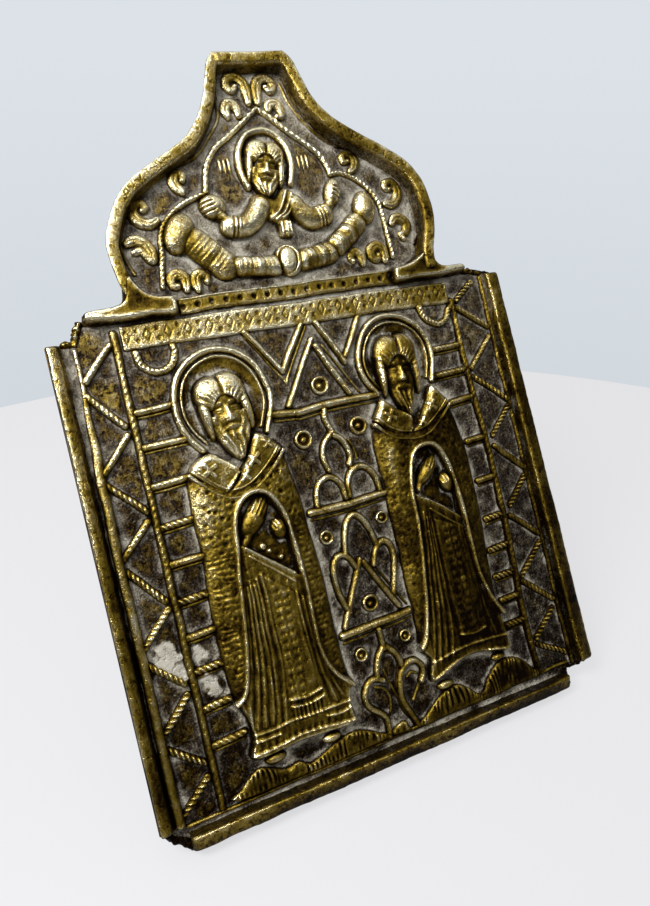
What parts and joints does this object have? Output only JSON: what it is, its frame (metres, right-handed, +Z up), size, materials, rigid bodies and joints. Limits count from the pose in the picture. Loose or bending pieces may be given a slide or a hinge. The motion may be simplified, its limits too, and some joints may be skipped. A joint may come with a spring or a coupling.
{
  "type": "bronze icon",
  "caption": "Cast brass travelling icon: a rimmed square panel with two standing bishops in relief, under an ogee crest with a half figure.",
  "frame": {"origin": "middle of the square panel's flat back face, which leans on a stand or a wall", "axes": "+X to the viewer's right, +Z up along the icon, -Y out of the decorated front"},
  "size_m": [0.0864, 0.0052, 0.1295],
  "materials": {
    "plate_brass": "cast, dark patina",
    "rim_brass": "cast, rubbed bright",
    "relief_brass": "cast, worn high, dark low"
  },
  "bodies": {
    "root": {"panel_plate": "plate_brass", "crest_plate": "plate_brass", "left_rim": "rim_brass", "right_rim": "rim_brass", "bottom_rim": "rim_brass", "left_top_bar": "rim_brass", "right_top_bar": "rim_brass", "left_crest_rim": "rim_brass", "right_crest_rim": "rim_brass", "left_bead": "relief_brass", "right_bead": "relief_brass", "bottom_bead": "relief_brass", "left_crest_bead": "relief_brass", "right_crest_bead": "relief_brass", "title_band": "relief_brass", "dotted_band": "relief_brass", "left_bishop": "relief_brass", "right_bishop": "relief_brass", "left_nimbus": "relief_brass", "right_nimbus": "relief_brass", "left_ladder": "relief_brass", "right_ladder": "relief_brass", "left_zigzag": "relief_brass", "right_zigzag": "relief_brass", "left_corner_loop": "relief_brass", "right_corner_loop": "relief_brass", "upper_gable": "relief_brass", "upper_trefoil": "relief_brass", "lower_gable": "relief_brass", "foot_petals": "relief_brass", "gable_roundel": "relief_brass", "upper_left_roundel": "relief_brass", "upper_right_roundel": "relief_brass", "middle_left_roundel": "relief_brass", "middle_right_roundel": "relief_brass", "lower_gable_roundel": "relief_brass", "lower_left_roundel": "relief_brass", "lower_right_roundel": "relief_brass", "left_hill": "relief_brass", "right_hill": "relief_brass", "crest_nimbus": "relief_brass", "crest_figure": "relief_brass", "cloud_swag": "relief_brass", "crest_arch": "relief_brass", "tip_left_scroll": "relief_brass", "tip_right_scroll": "relief_brass", "brow_left_leaf": "relief_brass", "brow_right_leaf": "relief_brass", "shoulder_left_scroll": "relief_brass", "shoulder_right_scroll": "relief_brass", "side_left_scroll": "relief_brass", "side_right_scroll": "relief_brass", "cheek_left_scroll": "relief_brass", "cheek_right_scroll": "relief_brass", "foot_left_scroll": "relief_brass", "foot_left_leaf": "relief_brass", "foot_right_leaf": "relief_brass", "foot_right_scroll": "relief_brass"}
  },
  "joints": []
}
